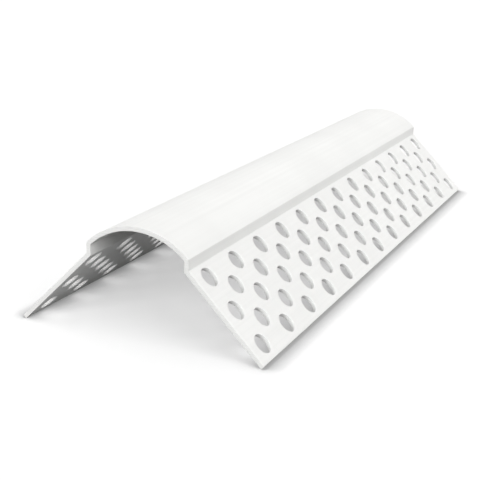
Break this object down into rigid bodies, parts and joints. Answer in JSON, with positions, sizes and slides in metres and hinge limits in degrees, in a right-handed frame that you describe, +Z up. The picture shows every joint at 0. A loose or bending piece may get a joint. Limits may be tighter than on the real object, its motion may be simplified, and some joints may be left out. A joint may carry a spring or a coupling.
{
  "type": "bullnose corner bead",
  "caption": "Vinyl bullnose corner bead: a thin rounded nose between two perforated flanges set square to each other, which covers and guards the outside corner of a plasterboard wall.",
  "frame": {"origin": "on the floor, under the middle of the bead's length and width", "axes": "+X along the bead, +Y across it, +Z up through the top of the nose"},
  "size_m": [0.179, 0.0648, 0.028],
  "materials": {
    "white_vinyl": "satin"
  },
  "bodies": {
    "root": {"bullnose_bead": "white_vinyl"}
  },
  "joints": []
}
